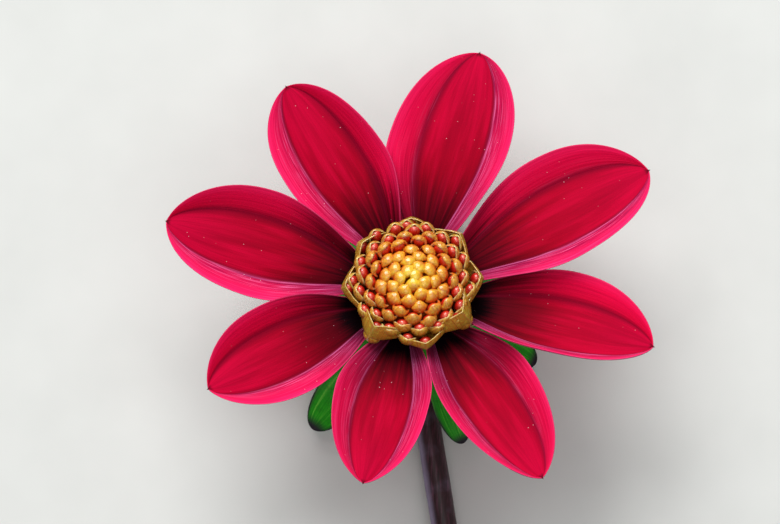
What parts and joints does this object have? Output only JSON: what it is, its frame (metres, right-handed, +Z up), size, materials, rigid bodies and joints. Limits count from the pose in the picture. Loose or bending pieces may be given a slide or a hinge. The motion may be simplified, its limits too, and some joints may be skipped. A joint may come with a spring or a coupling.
{
  "type": "dahlia flower",
  "caption": "Cut single dahlia with boat-shaped crimson petals round a domed golden disc, green outer bracts and a bent dark stem, lying face up.",
  "frame": {"origin": "centre of the bounding box on the surface the flower lies on", "axes": "+Z up, out of the face of the flower; -Y along the stem towards its cut end; +X to the right of the face"},
  "size_m": [0.0719, 0.1176, 0.0337],
  "materials": {
    "petals": "soft velvety petal",
    "bracts": "smooth fleshy leaf",
    "inner_bracts": "thin papery scale",
    "disc": "glossy buds in satin scales",
    "stem": "smooth satin skin"
  },
  "bodies": {
    "root": {"petal_1": "petals", "petal_2": "petals", "petal_3": "petals", "petal_4": "petals", "petal_5": "petals", "petal_6": "petals", "petal_7": "petals", "petal_8": "petals", "outer_bract_1": "bracts", "outer_bract_2": "bracts", "outer_bract_3": "bracts", "outer_bract_4": "bracts", "outer_bract_5": "bracts", "outer_bract_6": "bracts", "outer_bract_7": "bracts", "inner_bracts": "inner_bracts", "disc_florets": "disc", "stem": "stem"}
  },
  "joints": []
}
